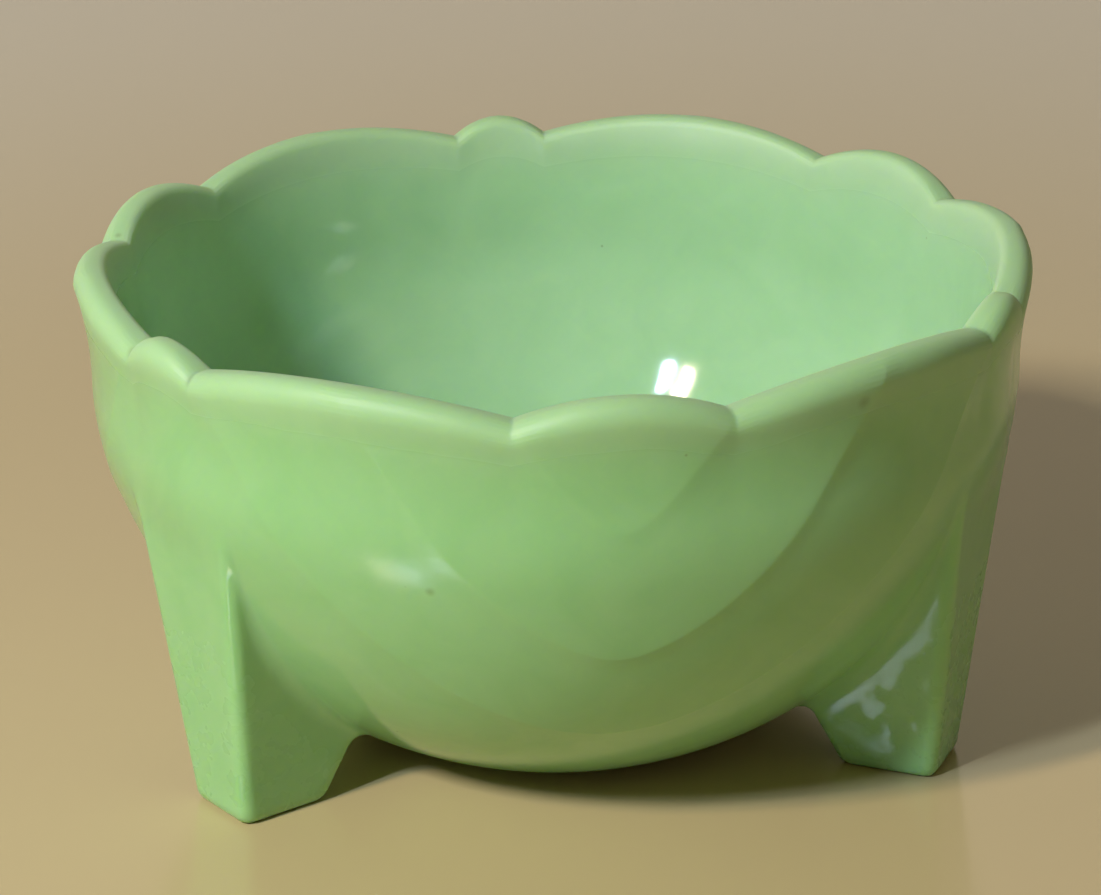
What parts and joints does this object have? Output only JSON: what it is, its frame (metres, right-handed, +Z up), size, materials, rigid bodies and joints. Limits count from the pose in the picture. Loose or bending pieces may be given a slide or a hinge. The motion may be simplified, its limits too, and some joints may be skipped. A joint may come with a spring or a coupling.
{
  "type": "footed bowl",
  "caption": "Round bowl of opaque jade-green pressed uranium glass with a lobed rim, a round body and tapered feet, for sweets, flowers or bulbs.",
  "frame": {"origin": "on the bowl's axis, at the height of the feet's soles", "axes": "+Z up along the bowl's axis, +Y towards the rear foot, +X to the right when seen from the front"},
  "size_m": [0.1396, 0.1396, 0.0733],
  "materials": {
    "jade_glass": "opaque, glossy, fire-polished pressed glass"
  },
  "bodies": {
    "root": {"bowl": "jade_glass", "foot_rear": "jade_glass", "foot_front_left": "jade_glass", "foot_front_right": "jade_glass"}
  },
  "joints": []
}
